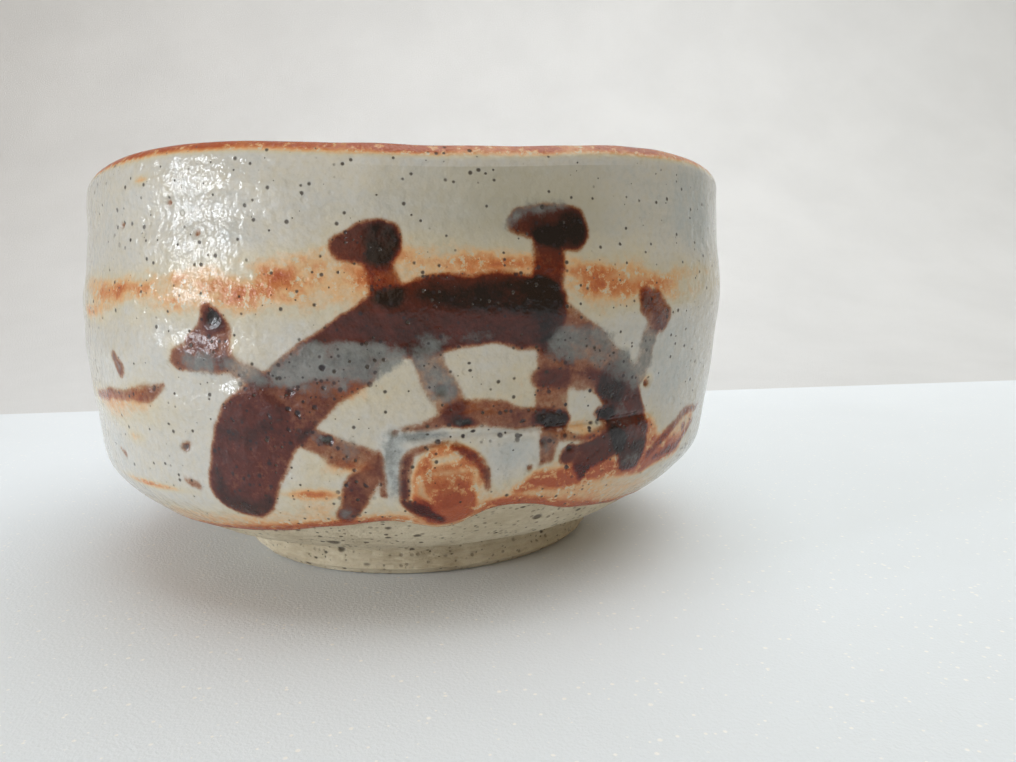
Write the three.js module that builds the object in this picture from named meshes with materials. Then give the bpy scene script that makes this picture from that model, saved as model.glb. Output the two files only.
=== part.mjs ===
// A hand-thrown tea bowl: a stoneware body on a turned foot ring, a thick coat of glaze
// outside that stops in a wavy line above the foot, a coat inside, and a bead of glaze that
// wraps the lip. Millimetres, +Z up, with the origin at the middle of the foot's base.
import * as THREE from 'three';

// Driving dimensions
const LIP_HEIGHT = 69.3;
const FOOT_HEIGHT = 5.2;
const FOOT_RADIUS = 35.3;
const FOOT_INNER_RADIUS = 29;
const FOOT_EDGE = 1; // bevel on both edges of the foot's base
const FOOT_TAPER = 0.3; // how far the foot's sides draw in towards the top
const COAT = 1.2; // thickness of a glaze coat
const GAP = 0.3; // clearance between pieces that touch
const COAT_TOP = 66.2; // height at which both coats meet the lip's bead
const GLAZE_LINE = 16; // mean height of the outer coat's lower edge
const GLAZE_LINE_WAVE = 2;

// How finely the curves are divided
const SIDES = 48; // straight sides round each turned piece
const OUTSIDE_STEPS = 20;
const INSIDE_STEPS = 16;
const COAT_STEPS = 14;
const LIP_STEPS = 6;

// How the potter's hand pulls the bowl out of true
const LEAN = 0.033; // sideways drift for each millimetre of height
const PLUMB_HEIGHT = 46; // height at which the drift crosses the axis
const SQUARENESS = 0.012; // share of the radius pushed out at four soft corners
const CORNER_ANGLE = THREE.MathUtils.degToRad(48);
const LIP_WAVE = 0.75;
const LIP_WAVE_ANGLE = THREE.MathUtils.degToRad(39);
const GLAZE_WAVE_ANGLE = THREE.MathUtils.degToRad(6);
const CORNERS_SET_IN = [10, 40]; // heights over which each change grows from nothing to full
const DRIFT_SETS_IN = [FOOT_HEIGHT, 14];
const LIP_WAVE_SETS_IN = [30, LIP_HEIGHT];

const line = (...points) => new THREE.SplineCurve(points.map(([r, z]) => new THREE.Vector2(r, z)));

// The clay's two faces, as radius and height: the outside goes up from the foot to the lip,
// and the inside comes down from the lip to the middle of the floor.
const clayOutside = line(
  [FOOT_RADIUS, FOOT_HEIGHT + GAP], [41, 7.4], [46.5, 10.6], [51.2, 14.2], [54.8, 17.4],
  [57.2, 21.2], [58.1, 27], [59.2, 37.5], [59.8, 48], [58.9, 57.5], [58.6, 66.5],
);
const clayInside = line(
  [56.4, 66.5], [56.2, 56], [55.8, 44], [54.4, 32], [51, 22.5], [43, 15.2], [28, 11.6], [0, 11],
);

// The lip: half an ellipse on the wall's top, over the bare clay and again over the glaze
const LIP_CENTRE = new THREE.Vector2(57.5, 66.5);
const CLAY_LIP = { across: 1.1, up: LIP_HEIGHT - LIP_CENTRE.y - COAT - GAP };

function lipArc(thickness) {
  const arc = new THREE.EllipseCurve(
    LIP_CENTRE.x, LIP_CENTRE.y, CLAY_LIP.across + thickness, CLAY_LIP.up + thickness, 0, Math.PI,
  );
  return arc.getPoints(LIP_STEPS);
}

// A point standing off a line, on the side away from the clay
function beside(curve, share, distance) {
  const along = curve.getTangent(share);
  return curve.getPoint(share).add(new THREE.Vector2(along.y, -along.x).multiplyScalar(distance));
}

function coatFace(curve, start, end, distance) {
  const steps = Array.from({ length: COAT_STEPS + 1 }, (_, i) => i / COAT_STEPS);
  return steps.map((step) => beside(curve, start + (end - start) * step, distance));
}

// The share of a line at which it reaches a height, found by halving
function shareAtHeight(curve, height) {
  const rising = curve.getPoint(1).y > curve.getPoint(0).y;
  let [low, high] = [0, 1];
  for (let i = 0; i < 30; i++) {
    const middle = (low + high) / 2;
    const under = curve.getPoint(middle).y < height;
    if (under === rising) low = middle;
    else high = middle;
  }
  return (low + high) / 2;
}

const ramp = (value, [start, end]) => THREE.MathUtils.smoothstep(value, start, end);

// Where the wheel's true circle ends up once the hand has moved it. Angle 0 faces -Y.
function byHand(radius, height, angle) {
  const corner = Math.cos(4 * (angle - CORNER_ANGLE)) * ramp(height, CORNERS_SET_IN);
  const pushed = radius * (1 + SQUARENESS * corner);
  const drift = LEAN * (height - PLUMB_HEIGHT) * ramp(height, DRIFT_SETS_IN);
  const wave = LIP_WAVE * Math.cos(5 * (angle - LIP_WAVE_ANGLE));
  const rise = wave * ramp(height, LIP_WAVE_SETS_IN);
  return [pushed * Math.sin(angle) + drift, -pushed * Math.cos(angle), height + rise];
}

// Turns an outline that may change round the bowl. The outline runs up its outer side and
// down its inner one, and starts and ends on the axis or closes on itself.
function turned(outlineAt) {
  const rows = outlineAt(0).length;
  const geometry = new THREE.LatheGeometry(outlineAt(0), SIDES);
  for (let column = 0; column <= SIDES; column++) {
    const angle = (2 * Math.PI * (column % SIDES)) / SIDES;
    outlineAt(angle).forEach((point, row) => {
      const place = byHand(Math.max(point.x, 0), point.y, angle);
      geometry.attributes.position.setXYZ(column * rows + row, ...place);
    });
  }
  geometry.computeVertexNormals();
  return geometry;
}

function footRing() {
  const innerBase = FOOT_INNER_RADIUS + FOOT_TAPER;
  const outline = [
    [innerBase + FOOT_EDGE, 0], [FOOT_RADIUS - FOOT_EDGE, 0], [FOOT_RADIUS, FOOT_EDGE],
    [FOOT_RADIUS - FOOT_TAPER, FOOT_HEIGHT], [FOOT_INNER_RADIUS, FOOT_HEIGHT],
    [innerBase, FOOT_EDGE], [innerBase + FOOT_EDGE, 0],
  ].map(([r, z]) => new THREE.Vector2(r, z));
  return turned(() => outline);
}

function clayBody() {
  const outline = [
    new THREE.Vector2(0, FOOT_HEIGHT + GAP),
    ...clayOutside.getPoints(OUTSIDE_STEPS),
    ...lipArc(0).slice(1, -1),
    ...clayInside.getPoints(INSIDE_STEPS),
  ];
  return turned(() => outline);
}

function outerGlaze() {
  const top = shareAtHeight(clayOutside, COAT_TOP);
  return turned((angle) => {
    const wave = GLAZE_LINE_WAVE * Math.cos(6 * (angle - GLAZE_WAVE_ANGLE));
    const bottom = shareAtHeight(clayOutside, GLAZE_LINE + wave);
    const outer = coatFace(clayOutside, bottom, top, GAP + COAT);
    const inner = coatFace(clayOutside, top, bottom, GAP);
    return [...outer, ...inner, outer[0]];
  });
}

function innerGlaze() {
  const top = shareAtHeight(clayInside, COAT_TOP);
  const underside = coatFace(clayInside, 1, top, GAP);
  const face = coatFace(clayInside, top, 1, GAP + COAT);
  underside[0].x = 0;
  face[face.length - 1].x = 0;
  return turned(() => [...underside, ...face]);
}

function lipGlaze() {
  const outer = lipArc(GAP + COAT);
  const inner = lipArc(GAP).reverse();
  return turned(() => [...outer, ...inner, outer[0]]);
}

function piece(name, geometry, color, roughness) {
  const material = new THREE.MeshStandardMaterial({ color, roughness, metalness: 0 });
  const mesh = new THREE.Mesh(geometry, material);
  mesh.name = name;
  return mesh;
}

const bowl = new THREE.Group();
bowl.add(
  piece('foot_ring', footRing(), 0xb3a78d, 0.9),
  piece('clay_body', clayBody(), 0xb9ae94, 0.9),
  piece('outer_glaze', outerGlaze(), 0xc3bfb5, 0.2),
  piece('inner_glaze', innerGlaze(), 0xc8c4ba, 0.2),
  piece('lip_glaze', lipGlaze(), 0xac6c44, 0.25),
);

export default bowl;
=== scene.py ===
"""A hand-thrown tea bowl: milky feldspar glaze over iron brushwork, a rust-coloured lip,
and a bare turned foot. It is laid out as an add-on whose operators make one piece each."""
import math

import bmesh
import bpy
import numpy as np
from bpy.props import FloatVectorProperty, IntProperty, PointerProperty
from mathutils import Matrix, Vector


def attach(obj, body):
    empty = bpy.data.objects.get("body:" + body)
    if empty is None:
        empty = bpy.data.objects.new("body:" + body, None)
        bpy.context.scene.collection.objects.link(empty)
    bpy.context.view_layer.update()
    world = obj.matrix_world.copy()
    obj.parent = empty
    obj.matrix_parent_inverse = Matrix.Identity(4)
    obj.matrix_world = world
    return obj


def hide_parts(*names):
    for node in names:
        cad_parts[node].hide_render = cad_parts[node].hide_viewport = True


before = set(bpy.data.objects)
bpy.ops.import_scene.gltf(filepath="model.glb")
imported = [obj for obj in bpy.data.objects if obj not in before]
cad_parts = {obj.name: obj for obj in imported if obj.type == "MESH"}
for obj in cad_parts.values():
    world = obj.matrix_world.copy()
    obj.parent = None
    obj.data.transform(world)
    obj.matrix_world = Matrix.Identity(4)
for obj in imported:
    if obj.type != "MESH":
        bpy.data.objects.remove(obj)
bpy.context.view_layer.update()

bl_info = {
    "name": "Tea Bowl",
    "version": (1, 0, 0),
    "blender": (4, 5, 0),
    "location": "3D View > Sidebar > Tea Bowl",
    "description": "Makes a hand-thrown tea bowl piece by piece, with its stage",
    "category": "Add Mesh",
}

MM = 0.001  # every size below is in millimetres, and every mesh in metres

# The clay's two faces as radius and height, and the lip between them, as the frame has them
CLAY_OUTSIDE = [
    (35.3, 5.5), (41, 7.4), (46.5, 10.6), (51.2, 14.2), (54.8, 17.4),
    (57.2, 21.2), (58.1, 27), (59.2, 37.5), (59.8, 48), (58.9, 57.5), (58.6, 66.5),
]
CLAY_INSIDE = [
    (56.4, 66.5), (56.2, 56), (55.8, 44), (54.4, 32), (51, 22.5), (43, 15.2), (28, 11.6), (0, 11),
]
LIP_CENTRE = (57.5, 66.5)
CLAY_LIP = (1.1, 1.3)  # half its width and its height
COAT_TOP = 66.2  # where the coats meet the lip's bead
FOOT_HEIGHT = 5.2
FOOT_INNER_RADIUS = 29.0
GLAZE_OFF = 1.5  # how far the glaze's face stands off the clay's
BACK_OFF = 0.35  # how far its back does
FRONT_RADIUS = 60.0  # turns an angle into millimetres round the wall

# How the potter's hand pulls the bowl out of true, as the frame has it
LEAN = 0.033
PLUMB_HEIGHT = 46.0
SQUARENESS = 0.012
CORNER_ANGLE = math.radians(48)
LIP_HEIGHT = 69.3
LIP_WAVE = 0.75
LIP_WAVE_ANGLE = math.radians(39)

# The outer coat's lower edge: degrees round from the front, and height
GLAZE_EDGE = [
    (-180, 15.5), (-155, 13.5), (-128, 16.5), (-100, 13.0), (-74, 13.6), (-52, 12.0), (-38, 12.8),
    (-28, 13.8), (-19, 15.0), (-12, 16.0), (-7, 16.7), (-3.5, 17.1), (0, 16.2), (3.4, 15.1),
    (6.5, 15.8), (9.5, 17.6), (12.5, 18.4), (16, 18.2), (21, 17.0), (29, 15.2), (38, 13.6),
    (50, 12.4), (68, 13.6), (90, 12.8), (118, 16.5), (142, 13.2), (164, 15.0),
]


def smooth(value, start, end):
    """Rises from 0 at start to 1 at end with no corner."""
    t = np.clip((value - start) / (end - start), 0.0, 1.0)
    return t * t * (3.0 - 2.0 * t)


def hump(value, centre, spread):
    """1 at the centre, fading away over the spread."""
    return np.exp(-(((value - centre) / spread) ** 2))


def catmull_rom(points, count):
    """A smooth line through points."""
    points = np.array(points, float)
    last = len(points) - 1
    along = np.linspace(0.0, last, count)
    start = np.minimum(along.astype(int), last - 1)
    t = (along - start)[:, None]
    p0, p1 = points[np.maximum(start - 1, 0)], points[start]
    p2, p3 = points[start + 1], points[np.minimum(start + 2, last)]
    v1, v2 = (p2 - p0) / 2, (p3 - p1) / 2
    return (2 * p1 - 2 * p2 + v1 + v2) * t**3 + (3 * p2 - 3 * p1 - 2 * v1 - v2) * t**2 + v1 * t + p1


SOFTENED = 6  # how many points to each side an outline's direction is averaged over


class Outline:
    """A profile that is followed by its length, and stood off from by a distance."""

    def __init__(self, points):
        points = np.array(points, float)
        steps = np.linalg.norm(np.diff(points, axis=0), axis=1)
        self.points = points[np.concatenate([[True], steps > 1e-6])]
        steps = np.linalg.norm(np.diff(self.points, axis=0), axis=1)
        self.length = np.concatenate([[0.0], np.cumsum(steps)])
        along = np.gradient(self.points, self.length, axis=0)
        window = np.ones(2 * SOFTENED + 1) / (2 * SOFTENED + 1)
        padded = [np.pad(part, SOFTENED, "edge") for part in along.T]
        softened = np.stack([np.convolve(part, window, "valid") for part in padded])
        along = (softened / np.linalg.norm(softened, axis=0)).T
        self.out = np.stack([along[:, 1], -along[:, 0]], axis=1)

    def at(self, length, off):
        """Radius and height at a length along the outline, off its face."""
        r, z = (np.interp(length, self.length, self.points[:, i]) for i in (0, 1))
        out_r, out_z = (np.interp(length, self.length, self.out[:, i]) for i in (0, 1))
        return r + off * out_r, z + off * out_z


FACE_POINTS = 400  # points along each of the clay's two faces


def clay_outline():
    """The clay's outside, the lip between its faces, and its inside."""
    turn = np.linspace(0.0, math.pi, 40)[1:-1]
    lip = np.stack([
        LIP_CENTRE[0] + CLAY_LIP[0] * np.cos(turn), LIP_CENTRE[1] + CLAY_LIP[1] * np.sin(turn),
    ], axis=1)
    outside, inside = (catmull_rom(face, FACE_POINTS) for face in (CLAY_OUTSIDE, CLAY_INSIDE))
    return Outline(np.concatenate([outside, lip, inside]))


CLAY = clay_outline()
LIP_START = np.interp(COAT_TOP, CLAY.points[:FACE_POINTS, 1], CLAY.length[:FACE_POINTS])
LIP_END = np.interp(-COAT_TOP, -CLAY.points[-FACE_POINTS:, 1], CLAY.length[-FACE_POINTS:])
FLOOR_CENTRE = CLAY.length[-1]


def edge_height(angle):
    """Height of the outer coat's lower edge: its given points, with the corners between them
    softened by averaging over a few degrees."""
    places, heights = zip(*GLAZE_EDGE)
    degrees = np.degrees(angle)
    turns = np.linspace(-1.8, 1.8, 7)
    return np.mean([np.interp(degrees + turn, places, heights, period=360) for turn in turns], axis=0)


def edge_length(angle):
    """Where along the outline the outer coat starts, with a small ripple."""
    height = edge_height(angle) + 0.10 * np.sin(23 * angle + 1.0) + 0.06 * np.sin(41 * angle)
    return np.interp(height, CLAY.points[:FACE_POINTS, 1], CLAY.length[:FACE_POINTS])


def by_hand(radius, height, angle):
    """Where the wheel's true circle ends up once the hand has moved it. Angle 0 faces -Y."""
    corner = np.cos(4 * (angle - CORNER_ANGLE)) * smooth(height, 10, 40)
    pushed = radius * (1 + SQUARENESS * corner)
    drift = LEAN * (height - PLUMB_HEIGHT) * smooth(height, FOOT_HEIGHT, 14)
    rise = LIP_WAVE * np.cos(5 * (angle - LIP_WAVE_ANGLE)) * smooth(height, 30, LIP_HEIGHT)
    return np.stack([pushed * np.sin(angle) + drift, -pushed * np.cos(angle), height + rise], axis=1)


# --- modelling ---

# Each piece is first turned as a straight sleeve, and the sleeve is then laid on the outline
SLEEVE_RADIUS = 40.0
FRONT_SHARE = 0.45  # how strongly a coat's columns are gathered towards the painted front
CREASE = math.radians(55)  # edges sharper than this stay crisp


def start_mesh(name):
    """A single vertex in edit mode, ready to be drawn out into a section."""
    bpy.ops.object.select_all(action="DESELECT")
    bpy.ops.mesh.primitive_plane_add(size=MM, location=(0, 0, 0))
    piece = bpy.context.object
    piece.name = piece.data.name = name
    bpy.ops.object.mode_set(mode="EDIT")
    bpy.ops.mesh.select_mode(type="VERT")
    bpy.ops.mesh.select_all(action="SELECT")
    bpy.ops.mesh.merge(type="CENTER")
    return piece


def sleeve_point(off, along):
    """A place on the sleeve's front line, in metres."""
    return Vector((0.0, -(SLEEVE_RADIUS + off) * MM, along * MM))


def draw_section(piece, section):
    """Extrudes the vertex through the section's points, (off, along, cuts) in millimetres. The
    edge that ends at a point is then cut into that many more pieces."""
    places = [sleeve_point(off, along) for off, along, _ in section]
    bpy.ops.transform.translate(value=places[0])
    for before, after in zip(places, places[1:]):
        bpy.ops.mesh.extrude_region_move(TRANSFORM_OT_translate={"value": after - before})
    for before, after, (_, _, cuts) in zip(places, places[1:], section[1:]):
        if cuts:
            select_edge(piece, (before + after) / 2)
            bpy.ops.mesh.subdivide(number_cuts=cuts)
    bpy.ops.mesh.select_all(action="SELECT")
    bpy.ops.mesh.remove_doubles(threshold=MM * 1e-3)


def select_edge(piece, middle):
    """Selects only the edge whose middle is nearest a place."""
    bpy.ops.mesh.select_all(action="DESELECT")
    bpy.ops.mesh.select_mode(type="EDGE")
    edges = bmesh.from_edit_mesh(piece.data).edges
    apart = [((edge.verts[0].co + edge.verts[1].co) / 2 - middle).length for edge in edges]
    edges.ensure_lookup_table()
    edges[apart.index(min(apart))].select_set(True)
    bmesh.update_edit_mesh(piece.data)


def spin_sleeve(name, section, columns):
    """A straight sleeve: the section is turned once round the axis and its seam is closed."""
    piece = start_mesh(name)
    draw_section(piece, section)
    bpy.ops.object.mode_set(mode="OBJECT")
    turn = piece.modifiers.new("Turn", "SCREW")
    turn.axis = "Z"
    turn.angle = 2 * math.pi
    turn.steps = turn.render_steps = columns
    turn.use_merge_vertices = True
    turn.merge_threshold = MM * 1e-3
    bpy.ops.object.modifier_apply(modifier=turn.name)
    return piece


def vertices(piece):
    """A piece's vertices in metres, one a row."""
    co = np.empty(len(piece.data.vertices) * 3)
    piece.data.vertices.foreach_get("co", co)
    return co.reshape(-1, 3)


def sleeve_places(piece, gathered=0.0):
    """Each vertex's angle from the front, height along the sleeve and distance off it, in mm.
    A share of the columns can be gathered towards the front, where the brushwork is."""
    co = vertices(piece) / MM
    angle = np.arctan2(co[:, 0], -co[:, 1])
    angle = angle - gathered * np.sin(angle)
    return angle, co[:, 2], np.hypot(co[:, 0], co[:, 1]) - SLEEVE_RADIUS


def set_vertices(piece, places):
    """Moves a piece's vertices to places in millimetres."""
    piece.data.vertices.foreach_set("co", (places * MM).ravel())
    piece.data.update()


def close_up(piece):
    """Merges the poles, turns the faces outwards and smooths the shading."""
    bpy.ops.object.select_all(action="DESELECT")
    bpy.context.view_layer.objects.active = piece
    piece.select_set(True)
    bpy.ops.object.mode_set(mode="EDIT")
    bpy.ops.mesh.select_all(action="SELECT")
    bpy.ops.mesh.remove_doubles(threshold=MM * 2e-3)
    bpy.ops.mesh.select_all(action="SELECT")
    bpy.ops.mesh.normals_make_consistent(inside=False)
    bpy.ops.mesh.select_all(action="DESELECT")
    bpy.ops.mesh.edges_select_sharp(sharpness=CREASE)
    bpy.ops.mesh.mark_sharp()
    bpy.ops.object.mode_set(mode="OBJECT")
    bpy.ops.object.shade_smooth()


def store(piece, name, values):
    """Keeps a number for each vertex, for a material to read."""
    layer = piece.data.attributes.new(name, "FLOAT", "POINT")
    layer.data.foreach_set("value", np.asarray(values, np.float32))


def hashed(cells):
    """A repeatable number from -1 to 1 for each whole-numbered cell."""
    x, y, z = cells.astype(np.int64).T
    mixed = (x * 73856093) ^ (y * 19349663) ^ (z * 83492791)
    mixed = ((mixed ^ (mixed >> 13)) * 1274126177) & 0x7FFFFFFF
    mixed = ((mixed ^ (mixed >> 15)) * 668265263) & 0x7FFFFFFF
    return mixed / 0x3FFFFFFF - 1.0


def swells(places, size, seed=0.0):
    """Smooth noise, about -1 to 1, with features of a size in millimetres."""
    scaled = places / size + seed
    corner = np.floor(scaled)
    t = scaled - corner
    t = t * t * (3.0 - 2.0 * t)
    total = np.zeros(len(places))
    for step in np.ndindex(2, 2, 2):
        weight = np.prod(np.where(step, t, 1.0 - t), axis=1)
        total += weight * hashed(corner + step)
    return total * 1.3


# --- the surface of the glaze ---

# Burst bubbles big enough to be real hollows: round the wall, height, radius, depth
CRATERS = [
    (-12, 29.4, 0.8, 0.45), (3.6, 35.9, 1, 0.5), (28.5, 30.7, 1.1, 0.6),
    (-27.6, 46.4, 1.3, 0.45), (7, 31.2, 0.9, 0.3), (19.5, 30.3, 0.9, 0.35),
    (-35.3, 61.9, 0.7, 0.3), (-46, 59.4, 0.8, 0.35), (16.6, 24, 0.7, 0.4),
    (18.5, 27.7, 0.8, 0.4), (-34.6, 27.6, 0.8, 0.35), (37.2, 34.7, 1, 0.4),
    (-30.2, 57.6, 0.7, 0.3), (-2.9, 30.2, 0.8, 0.3), (23, 26.4, 0.8, 0.35),
    (-17, 36.2, 0.7, 0.3),
]


def relief(places, angle, height, off):
    """How far the glaze's face swells or sinks, in millimetres."""
    round_wall = angle * FRONT_RADIUS
    face = smooth(off, 0.4, 1.2)
    wobble = 0.30 * swells(places * [1, 1, 1.6], 21.0, 3.1) + 0.10 * swells(places, 6.5, 7.7)
    rings = 0.16 * np.sin(height * 0.82 + 1.4 * np.sin(angle + 0.6) + 0.8 * np.sin(3 * angle))
    rings *= smooth(height, 20, 34) * (0.5 + 0.5 * np.cos(2 * angle + 0.5))
    at_crease = smooth(round_wall, -4, 2) * (1 - smooth(round_wall, 33, 44))
    crease_height = 29.3 + 0.012 * round_wall
    crease = -0.55 * hump(height, crease_height, 0.55) + 0.35 * hump(height, crease_height - 1.9, 1.3)
    belt = 0.45 * hump(height, 24.5, 4.0) * smooth(round_wall, -8, 8) * (1 - smooth(round_wall, 44, 60))
    drip = 0.5 * hump(round_wall, 3.0, 4.2) * hump(height, 18.5, 3.2)
    wrinkles = 0.34 * swells(places, 2.3, 4.4) + 0.25
    wrinkles *= hump(round_wall, -21.5, 8.0) * hump(height, 34.5, 4.5)
    total = wobble + rings + at_crease * crease + belt + drip + wrinkles
    for across, up, radius, depth in CRATERS:
        apart = np.hypot(round_wall - across, height - up) / radius
        total += depth * (0.35 * hump(apart, 1.25, 0.45) - hump(apart, 0.0, 0.75))
    return total * face


def lay_on_bowl(piece, start, end, long):
    """Lays a sleeve on the clay's outline between two lengths, then works it by hand."""
    angle, along, off = sleeve_places(piece, FRONT_SHARE)
    length = start(angle) + along / long * (end(angle) - start(angle))
    radius, height = CLAY.at(length, off)
    radius = np.maximum(radius, 0.0)
    places = by_hand(radius, height, angle)
    swell = relief(places, angle, places[:, 2], off)
    radius, height = CLAY.at(length, off + swell)
    places = by_hand(np.maximum(radius, 0.0), height, angle)
    set_vertices(piece, places)
    return angle, places


def constant(value):
    """The same length all round, for lay_on_bowl."""
    return lambda angle: np.full_like(angle, value)


# --- the brushwork ---

# Each pass of the brush is a list of dabs. A dab is (across, up, brush radius) points, then how
# much iron it leaves. Dabs of one pass run together; passes lie over each other.
HALF_WHEEL = [
    ([(-25.4, 22.8, 5.7), (-24.6, 26, 5.9), (-22.2, 30.4, 6)], 0.9),
    ([(-22.2, 30.4, 6), (-18, 34, 5.5), (-13.4, 38, 4.9), (-9.4, 41, 4.8)], 0.72),
    ([(-11.6, 41.4, 3), (-7.4, 43.4, 4), (-3, 45.2, 4.8), (4, 46.7, 5), (11, 47, 5),
      (16.4, 46, 4.7)], 1.05),
    ([(16.4, 45.4, 4.5), (21, 43.2, 3.7), (25.6, 40.2, 3.4), (30.2, 36.6, 3.2)], 0.5),
    ([(30.2, 35.4, 3.4), (32.6, 31.6, 4), (34.4, 27, 3.8), (35.3, 24, 3.1)], 1),
]
SECOND_PASS = [
    ([(1, 48.4, 0.8), (8.5, 48.6, 1.9), (15.5, 48.4, 2.4), (19, 48.2, 1.9)], 0.42),
    ([(-29.4, 24.4, 0.6), (-28.2, 20.4, 1.4), (-24.4, 18.4, 1.6), (-21.4, 20.4, 0.9)], 0.36),
    ([(-28, 31, 0.4), (-24, 29.2, 0.9), (-20.6, 31.6, 0.8)], 0.24),
    ([(17.2, 37, 1.3), (21.6, 37, 1.3), (26.4, 35.8, 1.3), (30.6, 33.8, 1.6)], 0.45),
    ([(34, 23, 1.9), (36.4, 24.2, 1.8)], 0.3),
]
PADDLES = [
    ([(-28.4, 46.8, 1.3), (-28, 44.4, 2.8), (-28.8, 42.4, 3.7)], 0.72),
    ([(-33.2, 40.6, 1.9), (-27.6, 41.2, 2.6)], 0.66),
    ([(-9.2, 55.3, 2.2), (-7.2, 55.6, 2.7), (-4.8, 55.8, 3.1)], 0.92),
    ([(14.6, 58.4, 2.1), (18, 58.1, 3), (21.3, 57.4, 3.3)], 0.95),
    ([(34.4, 48.6, 1), (36.6, 46.6, 2.5), (38.7, 44.7, 2.5)], 0.64),
]
DARK_ENDS = [
    ([(-4.5, 56, 2.4)], 0.55), ([(-27.6, 45.8, 1.3)], 0.6), ([(21.7, 57.3, 2.5)], 0.55),
    ([(17.4, 57, 1.6)], 0.3), ([(35, 48.4, 0.8), (39.6, 42.8, 0.5)], 0.2),
]
STEMS = [
    ([(-25.4, 39.9, 1.4), (-21.6, 37.6, 1.5)], 0.28), ([(-4.9, 53, 2), (-3.7, 49.6, 2.2)], 0.62),
    ([(18, 55.4, 2.2), (18.1, 51, 2.3)], 0.78), ([(18.2, 47, 1.8), (18.6, 42.5, 2.4)], 0.22),
    ([(37, 41.6, 1.9), (34.6, 36, 1.5)], 0.24),
]
SPOKES = [
    ([(19.4, 40.6, 2.6), (19.6, 36.5, 2.7), (19.8, 31.6, 2.7)], 0.44),
    ([(1.4, 40.6, 2.3), (3.6, 36.4, 2.4), (5, 33.4, 2.4)], 0.34),
    ([(-14.4, 29.2, 1.9), (-9, 26.8, 2), (-5.6, 25.8, 1.8)], 0.5),
    ([(-6, 24.6, 1.8), (-8.6, 21.2, 2.3), (-10.6, 18.4, 1.5)], 0.74),
    ([(-4.9, 27.2, 0.5), (-4.7, 24.2, 0.7), (-4.6, 21.2, 0.4)], 0.75),
    ([(19.4, 28, 1.9), (19.4, 25.6, 1.6), (18.5, 24, 0.5)], 0.42),
    ([(21.6, 28.2, 0.8), (24.6, 27.9, 0.6), (29.6, 28.2, 0.9)], 0.45),
    ([(23.2, 25.2, 1.6), (27, 25, 2.6), (31, 26, 2.4)], 0.92),
    ([(25.6, 23.4, 2.2), (25.6, 21.4, 0.8)], 0.92),
]
HUB = [
    ([(-1.8, 30.9, 0.4), (2.6, 31.6, 1), (7.6, 32.6, 2.1), (12.6, 32.1, 2.1),
      (17, 31.2, 1.6), (22.2, 30.4, 1)], 0.56),
    ([(-1.3, 26.6, 0.7), (-1.7, 24, 0.8), (-1.6, 21.2, 0.9)], 0.78),
    ([(-1.9, 20.4, 0.5), (1, 18.4, 1.4), (3.9, 16.7, 0.6)], 1.05),
    ([(-0.9, 27.2, 0.7), (2.2, 28.2, 0.6), (4.4, 28.4, 0.5)], 0.46),
    ([(5.4, 28, 0.7), (8.2, 26, 0.9), (9.9, 23.6, 0.7), (10.5, 21.6, 0.4)], 0.66),
    ([(3.8, 22, 3.6)], 0.1),
]
LAST_TOUCHES = [
    ([(5.8, 31.3, 0.7), (7.8, 31, 0.6)], 0.8), ([(17.8, 30.6, 1.1), (21.9, 30.2, 1.2)], 0.75),
    ([(27.6, 31, 0.8), (29.6, 30.2, 1.1)], 0.7), ([(3.2, 36.2, 0.8), (4.4, 36, 0.8)], 0.9),
    ([(-12.4, 29.2, 0.6), (-11.6, 29.4, 0.5)], 1),
]
STRAY_MARKS = [
    ([(-48.2, 40.2, 1), (-47.2, 38.8, 1.3)], 0.66),
    ([(-60, 33.9, 0.8), (-52, 34.3, 1), (-46, 34.6, 1), (-40.4, 35.3, 1.2)], 0.46),
    ([(-40.6, 35.2, 1.2), (-37.2, 36.6, 0.5)], 0.5),
    ([(-34.8, 27.4, 0.8), (-34, 28, 0.4)], 0.42),
    ([(-35.6, 22.6, 0.4), (-33.4, 22, 0.5)], 0.55),
    ([(-51.5, 24.6, 0.7), (-53.2, 25.2, 0.4)], 0.35),
    ([(40, 22.8, 0.8), (44.6, 26.2, 1), (50.6, 28.8, 0.9), (57, 28.4, 0.6)], 0.55),
    ([(42, 21.8, 0.6), (49, 23, 0.8), (55, 26.2, 0.6)], 0.5),
    ([(50.6, 26, 1)], 0.6),
]
BRUSHWORK = (
    HALF_WHEEL, SECOND_PASS, PADDLES, DARK_ENDS, STEMS, SPOKES, HUB, LAST_TOUCHES, STRAY_MARKS,
)

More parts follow.
